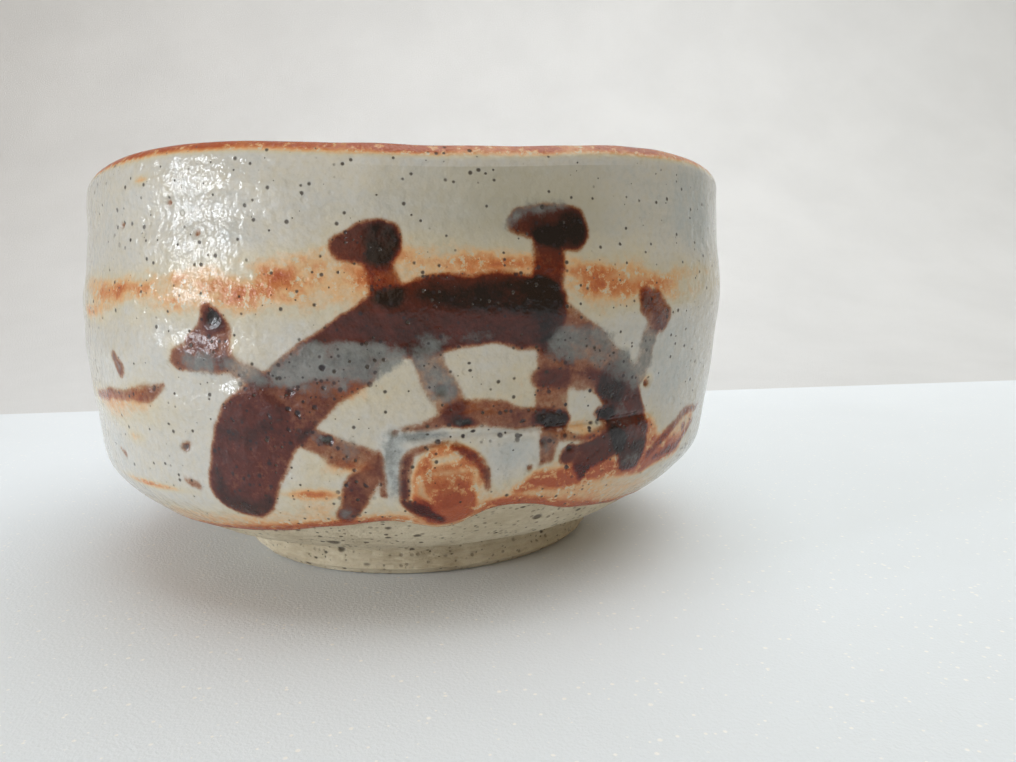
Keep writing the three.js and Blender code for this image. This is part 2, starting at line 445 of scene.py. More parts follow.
# Where thick glaze has run over the iron and turned it milky blue
VEILS = [
    ([(-3.2, 28.6, 0.9), (-3.1, 24.8, 1), (-3, 21.6, 0.8)], 0.95),
    ([(-3, 29.9, 0.9), (0.5, 29.9, 0.8), (3.8, 29.5, 0.7)], 0.9),
    ([(12, 28.6, 0.6), (13, 24.8, 1.2), (12.4, 21.6, 0.6)], 0.42),
    ([(-18.6, 38.6, 1.6), (-13.6, 40.4, 2.5), (-8, 40, 2.9), (-3.4, 40.6, 1.8)], 1),
    ([(-14.6, 37.2, 1.2), (-9.6, 37, 1.6)], 0.6),
    ([(-31.6, 40, 1.6), (-28.8, 40.2, 1.9)], 0.9),
    ([(-25.4, 39.9, 1.4), (-21.6, 37.6, 1.5)], 0.8),
    ([(1.4, 40.8, 2.4), (3.8, 36, 2.4)], 0.8),
    ([(3.6, 43, 0.9), (9.6, 43.2, 0.9)], 0.5),
    ([(20.4, 41.8, 2.6), (25.4, 41.4, 2.9), (30.6, 38.2, 2.7), (33.6, 35.6, 1.6)], 0.85),
    ([(34.6, 48.2, 1.4), (38.6, 44.9, 2.4)], 0.34),
    ([(12.6, 58, 1), (15.4, 60, 1.2), (20, 60.7, 0.9)], 0.8),
    ([(37, 41.2, 2), (34.4, 35.6, 2)], 0.85),
    ([(-13, 29.6, 1.2), (-8.6, 27.6, 1.2)], 0.55),
    ([(-10.6, 18.8, 1.3)], 0.6),
    ([(19.2, 27.4, 1.7), (19.4, 25.6, 1)], 0.55),
    ([(31.8, 31.4, 1.6), (34, 29.6, 1.2)], 0.35),
    ([(36, 22.8, 1.5), (34, 22.6, 1.2)], 0.45),
    ([(28.2, 30.9, 0.9)], 0.4),
    ([(5.8, 31.5, 0.6), (7.6, 31.2, 0.6)], 0.45),
    ([(18.6, 30.9, 0.8), (21.4, 30.6, 0.8)], 0.4),
    ([(-28.8, 30.2, 0.8), (-25.6, 31, 1)], 0.3),
    ([(-48.2, 40, 0.8), (-47.4, 39, 0.8)], 0.8),
    ([(-34.6, 27.2, 0.8)], 0.8),
]

# Where the glaze lies thicker (+) or thinner (-): across, up, spread across, spread up, change
GLAZE_DEPTH = [
    (14, 25, 3.2, 4.6, 0.22), (50, 60, 10, 10, 0.2), (44, 38, 8, 8, 0.12),
    (-3, 26.4, 2.2, 4, 0.15), (3, 37, 16, 5, -0.12), (17, 35, 5, 6, -0.1),
    (-14.8, 23.6, 3.4, 4.6, -0.18), (-8, 32, 7, 6, -0.08), (-3.1, 25.4, 1.3, 4, 0.3),
    (0.2, 29.6, 4, 1, 0.25), (-18, 48.4, 10, 3.6, -0.06), (-31, 49.6, 8, 3.6, -0.08),
    (-52, 50, 10, 3.4, -0.12), (-57, 47, 4, 0.8, -0.35), (25, 49.6, 9, 3.6, -0.1),
    (40, 50, 8, 3, -0.2), (5, 53.2, 6, 1.4, -0.2), (30, 18, 16, 2.6, -0.2),
    (26, 22.6, 10, 2.8, -0.44), (46, 23.6, 9, 3.2, -0.26), (12.6, 18.9, 3, 0.8, -0.4),
    (24.4, 29.4, 3.4, 1.3, -0.4), (26.6, 27.6, 2.6, 0.9, -0.5), (38.6, 28, 3, 2.8, -0.3),
    (-52, 33.6, 12, 1.7, -0.44), (-52, 31.2, 12, 1.8, -0.2), (-43, 35.4, 3, 2, -0.24),
    (-14.6, 21.5, 5, 0.7, -0.55), (-46.4, 28, 2.6, 1, -0.3), (-46, 20.6, 8, 0.6, -0.65),
    (-41, 65.4, 1.6, 0.6, -0.5), (-8.6, 25.4, 4, 1.2, -0.4), (-11, 51, 6, 3, -0.17),
    (26.5, 50, 7, 2.7, -0.34), (13.6, 53, 4, 1.6, -0.26), (-50, 50.8, 9, 1.5, -0.26),
    (40, 48.6, 12, 2.4, -0.14), (-34.6, 41, 1.4, 2.4, -0.24), (-25.2, 42.6, 1.2, 2.2, -0.2),
    (36.8, 35.2, 1.6, 1.1, -0.45), (-15, 36, 2.4, 1, -0.2), (-9, 36.2, 2.4, 1.6, -0.3),
    (9, 33.4, 6, 1.6, -0.2), (29, 34.6, 3, 1.4, -0.2), (-28, 15.4, 20, 1.8, -0.16),
    (19.6, 36, 3, 4, -0.16),
]
# The same for patches with an edge: (across, up, radius) points, then the change
GLAZE_PATCHES = [
    ([(4.2, 20.8, 4.6), (4.5, 23, 5.3)], -0.66), ([(4.2, 18.2, 2.4)], -0.2),
    ([(2.6, 25.8, 0.3), (5.8, 26.3, 0.4)], 0.42), ([(8.6, 24, 0.2), (8.9, 21.2, 0.3)], 0.42),
    ([(0.5, 23.8, 0.1), (0.9, 21.2, 0.3), (2.6, 19.8, 0.1)], 0.42),
    ([(1.8, 24.4, 0.1), (8, 24.3, 0.1)], 0.36),
    ([(14.8, 21, 0.4), (18, 21.8, 1.2), (24, 21.8, 1.5), (31, 21.8, 1.4), (36, 21.2, 1)], -0.4),
    ([(38, 22.2, 2.2), (45, 24, 2.6), (53, 27, 1.8)], -0.46),
    ([(46, 25.6, 1), (52, 26.6, 0.8)], 0.2), ([(40, 21.4, 1.4), (50, 22.6, 1.2)], -0.4),
    ([(36.6, 28.4, 1.6), (39.6, 26.2, 1.6)], -0.34),
]
# Where the glaze is peppered with burst bubbles: across, up, spread across, spread up
PEPPERED = [
    (25, 26.5, 10, 6), (5, 29.6, 10, 1.6), (-20, 33.5, 8, 4.5), (-8.5, 22, 3, 4.5), (-12, 38, 8, 3),
    (25, 34, 8, 3), (-44, 60, 5, 5), (60, 20, 14, 4),
]
USUAL_DEPTH = 0.78  # how thick the glaze is where nothing else is said
FIRE_BAND_HEIGHT = 50.3


def dab_distance(across, up, points):
    """Signed distance inside the edge of a dab whose width changes from point to point."""
    if len(points) == 1:
        x, y, radius = points[0]
        return radius - np.hypot(across - x, up - y)
    best = np.full_like(across, -1e3)
    for (x0, y0, r0), (x1, y1, r1) in zip(points, points[1:]):
        long = math.hypot(x1 - x0, y1 - y0)
        t = np.clip(((across - x0) * (x1 - x0) + (up - y0) * (y1 - y0)) / long**2, 0, 1)
        apart = np.hypot(across - x0 - t * (x1 - x0), up - y0 - t * (y1 - y0))
        best = np.maximum(best, r0 + t * (r1 - r0) - apart)
    return best


def laid_down(across, up, dabs, softness):
    """How much one pass of the brush leaves at each place, and how far inside its edge that is."""
    amount, inside = np.zeros_like(across), np.full_like(across, -8.0)
    for points, strength in dabs:
        distance = dab_distance(across, up, points)
        inside = np.maximum(inside, distance)
        amount = np.maximum(amount, strength * smooth(distance, -softness, softness))
    return amount, inside


def wandering(places, across, up):
    """Moves the wall's coordinates about a little, so that no painted edge is quite even."""
    return across + 0.45 * swells(places, 3.4, 11.3), up + 0.45 * swells(places, 3.4, 17.9)


def fire_band(places, angle, up):
    """The ragged flush of orange that runs round the wall, from 0 to about 1."""
    middle = FIRE_BAND_HEIGHT + 0.9 * np.sin(2 * angle + 0.9) - 0.5 * np.sin(5 * angle)
    middle = middle + 0.8 * swells(places, 9.0, 6.1)
    ragged = 0.60 * swells(places * [1, 1, 2.4], 5.5, 8.3) + 0.35 * swells(places * [1, 1, 2], 2.2, 5.9)
    strength = (0.72 + 0.28 * np.sin(2.2 * angle + 2.2)) * (1.0 + ragged)
    return strength * hump(up, middle, 4.2 + 0.9 * np.sin(3 * angle + 1.1))


def paint(piece, angle, places):
    """Stores the iron, the milky veil over it, the glaze's depth and an olive tint that is partly
    painted shade at every vertex.
    """
    across, up = angle * FRONT_RADIUS, places[:, 2]
    loose_across, loose_up = wandering(places, across, up)
    iron, edge = np.zeros_like(across), np.full_like(across, -8.0)
    for dabs in BRUSHWORK:
        amount, inside = laid_down(loose_across, loose_up, dabs, 0.8)
        iron += amount
        edge = np.maximum(edge, inside)
    for x, y, radius, _ in CRATERS:
        inside = 0.6 * radius - np.hypot(across - x, up - y)
        iron += 0.7 * smooth(inside, -0.4, 0.4)
        edge = np.maximum(edge, inside)
    veil, _ = laid_down(loose_across, loose_up, VEILS, 1.3)
    depth = np.full_like(across, USUAL_DEPTH)
    depth -= 0.38 * fire_band(places, angle, up)
    for x, y, wide, tall, change in GLAZE_DEPTH:
        depth += change * hump(across, x, wide) * hump(up, y, tall)
    for points, change in GLAZE_PATCHES:
        depth += change * smooth(dab_distance(loose_across, loose_up, points), -0.9, 0.7)
    above_edge = up - edge_height(angle)
    depth -= 0.75 * hump(above_edge, 0.0, 1.2) + 0.24 * hump(above_edge, 2.6, 2.4)
    depth += 0.55 * hump(above_edge, 0.1, 0.5) * hump(across, 4.0, 7.0)
    lip = smooth(up - LIP_WAVE * np.cos(5 * (angle - LIP_WAVE_ANGLE)), 67.0, 68.6)
    depth -= lip * (0.62 + 0.18 * np.cos(angle + 0.3) + 0.20 * swells(places, 4.0, 3.3))
    pepper = sum(hump(across, x, wide) * hump(up, y, tall) for x, y, wide, tall in PEPPERED)
    # An olive tint over the upper middle and right of the wall: partly the glaze's own colour, partly
    # painted shade that darkens that side.
    olive = hump(across, 16.0, 19.0) * hump(up, 60.5, 8.0) * (1 - 0.4 * hump(across, 34, 6))
    painted = {
        "iron_edge": edge, "iron": iron, "veil": veil, "depth": depth, "olive": olive, "pepper": pepper,
    }
    for name, values in painted.items():
        store(piece, name, values)


# --- shaders ---


class Socket:
    """A shader socket that takes part in arithmetic by adding Math nodes."""

    def __init__(self, shader, socket):
        self.shader, self.socket = shader, socket

    def _maths(self, operation, first, second):
        return self.shader.node("ShaderNodeMath", {"operation": operation}, {0: first, 1: second})[0]

    def __add__(self, other):
        return self._maths("ADD", self, other)

    __radd__ = __add__

    def __sub__(self, other):
        return self._maths("SUBTRACT", self, other)

    def __rsub__(self, other):
        return self._maths("SUBTRACT", other, self)

    def __mul__(self, other):
        return self._maths("MULTIPLY", self, other)

    __rmul__ = __mul__

    def __pow__(self, other):
        return self._maths("POWER", self, other)


class Shader:
    """A material's node tree, with one method that adds any node."""

    def __init__(self, name):
        self.material = bpy.data.materials.new(name)
        self.material.use_nodes = True
        self.nodes, self.links = self.material.node_tree.nodes, self.material.node_tree.links
        self.nodes.clear()

    def node(self, kind, settings=None, inputs=None):
        """Adds a node: its settings are set first, then its sockets. Returns its outputs."""
        node = self.nodes.new(kind)
        for name, value in (settings or {}).items():
            if name == "stops":
                self._set_stops(node.color_ramp, value)
            else:
                setattr(node, name, value)
        for name, value in (inputs or {}).items():
            if isinstance(value, Socket):
                self.links.new(value.socket, node.inputs[name])
            else:
                node.inputs[name].default_value = value
        return {key: Socket(self, out) for i, out in enumerate(node.outputs) for key in (i, out.name)}

    @staticmethod
    def _set_stops(ramp, stops):
        while len(ramp.elements) < len(stops):
            ramp.elements.new(1.0)
        for element, (place, colour) in zip(ramp.elements, stops):
            element.position = place
            element.color = (*colour, 1.0)

    def between(self, value, low, high):
        """0 below low, 1 above high, and smooth in between."""
        inputs = {"Value": value, "From Min": low, "From Max": high}
        return self.node("ShaderNodeMapRange", {"interpolation_type": "SMOOTHSTEP"}, inputs)[0]

    def attribute(self, name):
        return self.node("ShaderNodeAttribute", {"attribute_name": name})["Fac"]

    def object_place(self):
        return self.node("ShaderNodeTexCoord")["Object"]

    def stretched(self, place, scale):
        return self.node("ShaderNodeMapping", {}, {"Vector": place, "Scale": scale})[0]

    def noise(self, place, size, detail=3.0, roughness=0.55):
        """Noise about 0, with features of a size in millimetres."""
        inputs = {"Vector": place, "Scale": 1.0 / (size * MM), "Detail": detail, "Roughness": roughness}
        return (self.node("ShaderNodeTexNoise", {}, inputs)[0] - 0.5) * 2.0

    def spots(self, place, spacing, radius, rarity=4.0):
        """Round dots scattered about a spacing apart, of many sizes up to a radius: 1 inside.
        The higher the rarity, the fewer of them are big."""
        cells = self.node("ShaderNodeTexVoronoi", {}, {"Vector": place, "Scale": 1.0 / (spacing * MM)})
        chance = self.node("ShaderNodeSeparateColor", {}, {0: cells["Color"]})[0]
        reach = (chance**rarity) * (radius / spacing)
        return self.between(cells["Distance"], reach, reach * 0.45)

    def mix(self, factor, first, second, blend="MIX"):
        settings = {"data_type": "RGBA", "blend_type": blend, "clamp_factor": True}
        inputs = {0: factor, 6: self._colour(first), 7: self._colour(second)}
        return self.node("ShaderNodeMix", settings, inputs)[2]

    @staticmethod
    def _colour(value):
        return value if isinstance(value, Socket) else (*tuple(value)[:3], 1.0)

    def ramp(self, factor, stops):
        return self.node("ShaderNodeValToRGB", {"stops": stops}, {0: factor})["Color"]

    def bump(self, height, distance):
        inputs = {"Height": height, "Distance": distance * MM, "Strength": 1.0}
        return self.node("ShaderNodeBump", {}, inputs)[0]

    def finish(self, **inputs):
        """Ends in a Principled BSDF. Underscores in the names of its sockets become spaces."""
        named = {key.replace("_", " "): value for key, value in inputs.items()}
        surface = self.node("ShaderNodeBsdfPrincipled", {}, named)[0]
        self.node("ShaderNodeOutputMaterial", {}, {0: surface})
        return self.material


def glaze_ground(shader, place, depth, colours):
    """The bare glaze's colour by its depth: rust where it is thin, milky where it is thick."""
    ground = shader.ramp(depth, [
        (0.0, colours.rust), (0.17, colours.orange), (0.36, colours.peach),
        (0.56, colours.cream), (0.80, colours.milk), (1.0, colours.pooled),
    ])
    curdled = shader.between(shader.noise(place, 0.75, 3.0, 0.6), -0.15, 0.75)
    return shader.mix(curdled * 0.22, ground, colours.shade, "MULTIPLY")


def varied_depth(shader, place):
    """The painted depth of the glaze, made uneven, and beaded where it is thin."""
    uneven = shader.noise(place, 5.5, 4.0) * 0.16 + shader.noise(place, 1.0, 3.0) * 0.17
    depth = shader.attribute("depth") + uneven
    beads = shader.between(shader.noise(place, 1.2, 5.0, 0.7), 0.04, 0.26)
    return depth + beads * (1.0 - shader.between(depth, 0.25, 0.5)) * 0.30


def pinholed(shader, place, colour):
    """Darkens a glaze with pinholes and iron specks. Returns the colour and the holes."""
    holes = shader.spots(place, 1.1, 0.40, 3.4)
    specks = shader.spots(shader.stretched(place, (1.0, 1.0, 1.3)), 3.6, 0.48)
    colour = shader.mix(holes * 0.90, colour, (0.045, 0.032, 0.022))
    colour = shader.mix(specks * 0.9, colour, (0.035, 0.024, 0.018))
    return colour, holes


def glossy_normal(shader, place, holes, roughened):
    """Orange peel, a melted ripple and the pinholes, as one normal."""
    ripple = shader.noise(place, 4.2, 2.0)
    peel = shader.noise(place, 1.3, 2.0)
    bubbles = shader.spots(place, 3.4, 0.95, 3.0)
    height = ripple * 1.3 + peel * 0.60 - holes * 0.7 - bubbles * 0.6
    return shader.bump(height + shader.noise(place, 0.5, 3.0) * roughened, 0.14)


def glaze_roughness(shader, place, thin, holes):
    """Glossy, and duller in clouds, where the coat is thin and in the pinholes."""
    cloudy = shader.between(shader.noise(place, 12.0), -0.6, 0.8)
    return 0.08 + cloudy * 0.08 + thin * 0.16 + holes * 0.3


def painted_glaze_material(colours):
    """The outer coat: its ground, then the iron as a stain, the veil over it, and the holes."""
    shader = Shader("painted_glaze")
    place = shader.object_place()
    depth = varied_depth(shader, place)
    ground = glaze_ground(shader, place, depth, colours)
    # Faint olive streaks, plus the olive patch, which is partly painted shade darkening the upper
    # middle and right of the wall.
    streaks = shader.noise(shader.stretched(place, (1.0, 1.0, 3.2)), 9.0, 4.0)
    shade = shader.between(streaks, -0.1, 0.9) * 0.28 + shader.attribute("olive") * 0.78
    ground = shader.mix(shade * shader.between(depth, 0.3, 0.6), ground, colours.shade)
    grainy = shader.noise(place, 0.8, 4.0, 0.7)
    patchy = shader.noise(place, 2.6, 5.0, 0.65)
    covered = shader.between(shader.attribute("iron_edge") + grainy * 0.34 + patchy * 0.3, -0.5, 0.6)
    iron = shader.attribute("iron") * covered
    blotchy = shader.noise(place, 4.6, 4.0, 0.65)
    amount = iron + (blotchy * 0.34 + patchy * 0.30 + grainy * 0.34) * shader.between(iron, 0.0, 0.4)
    stain = shader.ramp(amount * 0.66, [
        (0.0, (1.0, 1.0, 1.0)), (0.14, colours.tea), (0.33, colours.rust_brown), (0.55, colours.maroon),
        (0.80, colours.dark_maroon), (1.0, colours.black),
    ])
    colour = shader.mix(1.0, ground, stain, "MULTIPLY")
    veil = shader.attribute("veil") + patchy * 0.80 + grainy * 0.40
    dim_veil = [part * 0.55 for part in colours.veil]
    milky = shader.mix(shader.between(grainy + blotchy, -0.6, 0.8), colours.veil, dim_veil)
    colour = shader.mix(shader.between(veil, 0.25, 1.05) * 0.88, colour, milky)
    freckles = shader.spots(place, 0.8, 0.50, 4.0) * shader.between(amount, 0.10, 0.40)
    colour = shader.mix(freckles * 0.8, colour, colours.black)
    peppered = shader.between(shader.attribute("pepper") + patchy * 0.3, 0.2, 0.8)
    burst = shader.spots(place, 1.25, 0.62, 1.8) * peppered
    colour = shader.mix(burst * 0.95, colour, colours.black)
    colour, holes = pinholed(shader, place, colour)
    thin = 1.0 - shader.between(depth, 0.12, 0.42)
    roughened = thin * 0.5 + shader.between(amount, 0.1, 0.9) * 0.12
    normal = glossy_normal(shader, place, holes + burst * 1.6, roughened)
    roughness = glaze_roughness(shader, place, thin, holes)
    return shader.finish(Base_Color=colour, Roughness=roughness, Normal=normal, Specular_IOR_Level=0.40)


def plain_glaze_material(name, colours):
    """A coat with no brushwork, coloured by its depth alone."""
    shader = Shader(name)
    place = shader.object_place()
    depth = varied_depth(shader, place)
    colour = glaze_ground(shader, place, depth, colours)
    colour, holes = pinholed(shader, place, colour)
    thin = 1.0 - shader.between(depth, 0.12, 0.42)
    normal = glossy_normal(shader, place, holes, thin * 0.5)
    roughness = glaze_roughness(shader, place, thin, holes)
    return shader.finish(Base_Color=colour, Roughness=roughness, Normal=normal)


def bare_clay_material(colours):
    """Fired clay, cloudy and grainy, with turning lines, grit and burnt-out pits."""
    shader = Shader("fired_clay")
    place = shader.object_place()
    flat = shader.stretched(place, (1.0, 1.0, 3.2))
    cloud = shader.noise(place, 9.0, 4.0)
    tooling = shader.noise(flat, 2.2, 4.0)
    grain = shader.noise(place, 0.7, 4.0, 0.7)
    fired = shader.between(cloud + tooling * 0.7, -0.5, 0.9)
    colour = shader.mix(fired, colours.clay, colours.clay_dark)
    colour = shader.mix(shader.between(grain, -0.1, 0.7) * 0.45, colour, colours.clay_dark)
    grit = shader.spots(place, 0.95, 0.50, 2.0)
    uneven = shader.stretched(place, (1.0, 1.0, 1.5))
    specks = shader.spots(uneven, 1.7, 0.75, 2.6) + shader.spots(uneven, 4.6, 1.5, 3.6)
    colour = shader.mix(grit * 0.6, colour, (0.17, 0.13, 0.085))
    colour = shader.mix(specks * 0.8, colour, (0.06, 0.042, 0.026))
    normal = shader.bump(grain * 0.55 + tooling * 0.8 - specks * 1.3 - grit * 0.5, 0.26)
    return shader.finish(Base_Color=colour, Roughness=0.82 + grain * 0.1, Normal=normal)


# --- settings ---


def colour_property(name, description, default):
    return FloatVectorProperty(
        name=name, description=description, default=default, min=0, max=1, size=3, subtype="COLOR",
    )


class TEABOWL_PG_colours(bpy.types.PropertyGroup):
    rust: colour_property("Rust", "Glaze at its thinnest", (0.40, 0.088, 0.030))
    orange: colour_property("Orange", "Thin glaze, flushed by the fire", (0.57, 0.21, 0.072))
    peach: colour_property("Peach", "Glaze between thin and thick", (0.67, 0.42, 0.22))
    cream: colour_property("Cream", "Glaze of middling depth", (0.60, 0.54, 0.41))
    milk: colour_property("Milk", "Thick milky glaze", (0.57, 0.555, 0.51))
    pooled: colour_property("Pooled", "Glaze at its thickest", (0.47, 0.50, 0.50))
    # This olive is also laid over the upper middle and right of the wall, partly as painted shade.
    shade: colour_property("Olive shade", "Faint streaks in the thick glaze", (0.40, 0.375, 0.285))
    tea: colour_property("Tea stain", "A trace of iron, as a share of the ground", (0.64, 0.42, 0.31))
    rust_brown: colour_property("Brown stain", "A little iron", (0.42, 0.165, 0.100))
    maroon: colour_property("Maroon stain", "A full brush of iron", (0.185, 0.046, 0.039))
    dark_maroon: colour_property("Dark stain", "Iron laid thickly", (0.085, 0.030, 0.030))
    black: colour_property("Black stain", "Iron laid twice", (0.028, 0.020, 0.024))
    veil: colour_property("Veil", "Iron seen through thick glaze", (0.255, 0.27, 0.26))
    clay: colour_property("Clay", "Bare fired clay", (0.68, 0.61, 0.46))
    clay_dark: colour_property("Dark clay", "Clay where the fire marked it", (0.47, 0.39, 0.26))


class TEABOWL_PG_sizes(bpy.types.PropertyGroup):
    glaze_columns: IntProperty(
        name="Columns", description="Facets round the outer glaze", default=560, min=48, max=900,
    )
    glaze_rows: IntProperty(
        name="Rows", description="Cuts across the painted half", default=92, min=20, max=100,
    )


class TEABOWL_PG_settings(bpy.types.PropertyGroup):
    colours: PointerProperty(type=TEABOWL_PG_colours)
    sizes: PointerProperty(type=TEABOWL_PG_sizes)


def settings():
    """The sizes and colours that the sidebar shows."""
    return bpy.context.scene.tea_bowl


def place_in_frame(piece, material, slot, *nodes):
    """Gives a finished piece its material and its part in the frame."""
    piece.data.materials.clear()
    piece.data.materials.append(material)
    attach(piece, "root")
    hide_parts(*nodes)


def coat_section(long, face_cuts, back_cuts):
    """A coat's section: its face, and its back against the clay."""
    corners = [(GLAZE_OFF, long, face_cuts), (BACK_OFF, long, 0), (BACK_OFF, 0.0, back_cuts)]
    return [(GLAZE_OFF, 0.0, 0)] + corners + [(GLAZE_OFF, 0.0, 0)]


# --- operators ---


class TEABOWL_OT_outer_glaze(bpy.types.Operator):
    """Add the painted outer coat, from its rolled lower edge to the lip"""

    bl_idname = "teabowl.outer_glaze"
    bl_label = "Outer Glaze"

    def execute(self, context):
        sizes = settings().sizes
        long = LIP_START - float(np.mean(edge_length(np.linspace(-math.pi, math.pi, 73))))
        rolled = [
            (0.3, 0.0, 0), (0.62, 0.14, 0), (0.90, 0.42, 0), (1.12, 0.85, 0), (1.28, 1.4, 0),
            (1.40, 2.1, 0), (GLAZE_OFF, 3.2, 0),
        ]
        hidden = [(BACK_OFF, long, 0), (BACK_OFF, 1.5, 5)]
        painted = [(GLAZE_OFF, 0.58 * long, sizes.glaze_rows), (GLAZE_OFF, long, sizes.glaze_rows // 2)]
        section = rolled + painted + hidden + rolled[:1]
        piece = spin_sleeve("outer_glaze_coat", section, sizes.glaze_columns)
        angle, places = lay_on_bowl(piece, edge_length, constant(LIP_START), long)
        paint(piece, angle, places)
        close_up(piece)
        material = painted_glaze_material(settings().colours)
        place_in_frame(piece, material, "painted_glaze", "outer_glaze")
        return {"FINISHED"}


class TEABOWL_OT_lip_glaze(bpy.types.Operator):
    """Add the bead of thin, rust-coloured glaze that wraps the lip"""

    bl_idname = "teabowl.lip_glaze"
    bl_label = "Lip Glaze"

    def execute(self, context):
        long = LIP_END - LIP_START
        section = coat_section(long, 26, 5)
        piece = spin_sleeve("lip_glaze_bead", section, settings().sizes.glaze_columns)
        angle, places = lay_on_bowl(piece, constant(LIP_START), constant(LIP_END), long)
        paint(piece, angle, places)
        close_up(piece)
        material = plain_glaze_material("lip_glaze", settings().colours)
        place_in_frame(piece, material, "lip_glaze", "lip_glaze")
        return {"FINISHED"}


class TEABOWL_OT_inner_glaze(bpy.types.Operator):
    """Add the coat inside, from the lip down to the middle of the floor"""

    bl_idname = "teabowl.inner_glaze"
    bl_label = "Inner Glaze"

    def execute(self, context):
        long = FLOOR_CENTRE - LIP_END
        section = coat_section(long, 98, 14)
        piece = spin_sleeve("inner_glaze_coat", section, settings().sizes.glaze_columns // 2)
        _, places = lay_on_bowl(piece, constant(LIP_END), constant(FLOOR_CENTRE), long)
        radius = np.hypot(places[:, 0], places[:, 1])
        depth = 0.80 - 0.75 * smooth(places[:, 2], 66.2, 68.0) - 0.16 * hump(places[:, 2], 58, 5)
        depth += 0.16 * (1 - smooth(radius, 12, 40)) - 0.2 * hump(places[:, 2], 24, 3)
        store(piece, "depth", depth)
        close_up(piece)
        material = plain_glaze_material("inner_glaze", settings().colours)
        place_in_frame(piece, material, "plain_glaze", "inner_glaze")
        return {"FINISHED"}


UNDERSIDE_RADIUS = 34.6  # reach of the flat clay inside the foot
SHOWN_CLAY = 17.0  # length of the outline that may show below the glaze
CLAY_COLUMNS = 420


def tool_marks(places, angle):
    """The ridges that a turning tool leaves in bare clay, and its small tears."""
    wander = 0.5 * np.sin(2 * angle) + 0.3 * np.sin(5 * angle + 1)
    ridges = 0.09 * np.sin(5.2 * places[:, 2] + wander) + 0.05 * np.sin(2.1 * places[:, 2] - wander)
    return ridges + 0.10 * swells(places, 5.0, 2.2) + 0.06 * swells(places, 1.6, 9.4)


class TEABOWL_OT_clay_body(bpy.types.Operator):
    """Add the clay: its bare underside, and the wall and floor behind the glaze"""

    bl_idname = "teabowl.clay_body"
    bl_label = "Clay Body"

    def execute(self, context):
        section = [
            (-1.0, -UNDERSIDE_RADIUS, 0), (-1.0, -0.6, 34), (0.45, 0.5, 0), (0.45, SHOWN_CLAY, 40),
            (0.0, SHOWN_CLAY + 2.0, 0), (0.0, FLOOR_CENTRE, 42),
        ]
        piece = spin_sleeve("clay_wall", section, CLAY_COLUMNS)
        angle, along, off = sleeve_places(piece)
        below = along < 0.0
        radius, height = CLAY.at(np.maximum(along, 0.0), np.maximum(off, 0.0))
        radius = np.where(below, UNDERSIDE_RADIUS + along, radius)
        button = 0.8 * hump(radius, 0.0, 6.0) - 0.5 * hump(radius, 16.0, 7.0)
        height = np.where(below, FOOT_HEIGHT + 0.15 - button, height)
        places = by_hand(np.maximum(radius, 0.0), height, angle)
        marks = tool_marks(places, angle) * (along < SHOWN_CLAY + 1.0)
        front = 0.5 + 0.5 * np.cos(angle)
        lifted = 1.1 * front * hump(radius, 38.0, 5.0) * (along > 0.0)
        height = height + np.where(below, -marks, -0.8 * marks + lifted)
        places = by_hand(np.maximum(radius, 0.0), height, angle)
        set_vertices(piece, places)
        close_up(piece)
        place_in_frame(piece, bare_clay_material(settings().colours), "bare_clay", "clay_body")
        return {"FINISHED"}


class TEABOWL_OT_foot_ring(bpy.types.Operator):
    """Add the turned foot ring"""

    bl_idname = "teabowl.foot_ring"
    bl_label = "Foot Ring"

    def execute(self, context):
        outline = [
            (FOOT_INNER_RADIUS, FOOT_HEIGHT), (29.1, 3.0), (29.6, 1.0), (30.8, 0.1), (32.2, 0.0),
            (33.3, 0.1), (34.3, 0.7), (35.1, 1.7), (35.0, 2.5), (34.6, 3.8), (34.8, 5.2), (35.6, 6.9),
        ]
        section = [(r - SLEEVE_RADIUS, z, 3) for r, z in catmull_rom(outline, 17)] + [(-8.0, 6.2, 0)]
        section.append(section[0])
        piece = spin_sleeve("foot", section, CLAY_COLUMNS)
        angle, height, off = sleeve_places(piece)
        radius = off + SLEEVE_RADIUS
        places = by_hand(radius, height, angle)
        marks = 1.6 * tool_marks(places, angle) + 0.10 * swells(places, 1.8, 6.6)
        outward = smooth(radius, 31.0, 34.0) - 0.5
        worn = 0.10 * swells(places, 9.0, 5.5) * hump(height, 0.6, 1.2)
        wide = radius + 2 * outward * (marks + worn) * smooth(height, 0.1, 1.0)
        height = np.where(height > 5.0, height - 1.5 * (0.5 - 0.5 * np.cos(angle)), height)
        set_vertices(piece, by_hand(wide, np.maximum(height, 0.0), angle))
        close_up(piece)
        material = bpy.data.materials.get("fired_clay") or bare_clay_material(settings().colours)
        place_in_frame(piece, material, "bare_clay", "foot_ring")
        return {"FINISHED"}


# --- stage ---

CAMERA_PLACE = Vector((0.0, -0.1623, 0.0505))
CAMERA_LENS = 27.0
CAMERA_YAW, CAMERA_PITCH, CAMERA_ROLL = (math.radians(a) for a in (6.77, -7.46, -0.90))
TABLE_END = 0.166
SWEEP_BEND = 0.70  # length of the sweep's curve
STAGE_WIDTH = 4.0

